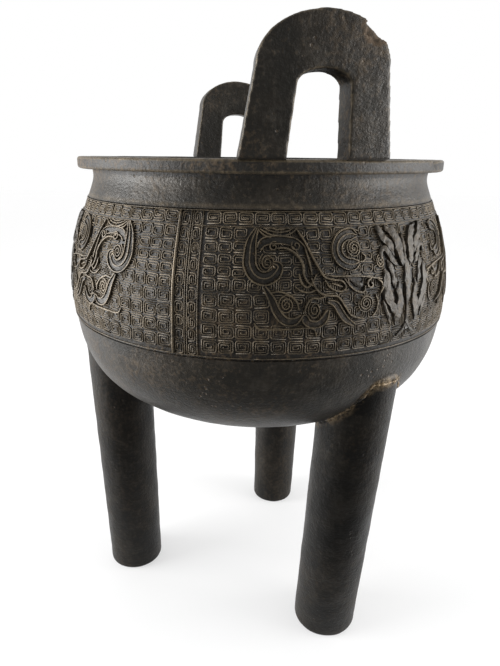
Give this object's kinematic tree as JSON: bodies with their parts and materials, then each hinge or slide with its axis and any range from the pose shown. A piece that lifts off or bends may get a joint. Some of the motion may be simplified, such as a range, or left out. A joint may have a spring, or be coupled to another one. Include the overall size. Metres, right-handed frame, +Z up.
{
  "type": "bronze ding vessel",
  "caption": "Round-bodied bronze tripod cauldron with upright loop handles, columnar legs and a band of scrolling mask relief under the rim.",
  "frame": {"origin": "on the floor under the bowl's axis", "axes": "+Z up along the bowl's axis; -Y is the front, with one handle near it; +X to the right as seen from the front"},
  "size_m": [0.1727, 0.1728, 0.2579],
  "materials": {
    "patinated_bronze": "dark grey-brown patina with tan earth in the recesses, worn satin on the high parts"
  },
  "bodies": {
    "root": {"ding_vessel": "patinated_bronze"}
  },
  "joints": []
}
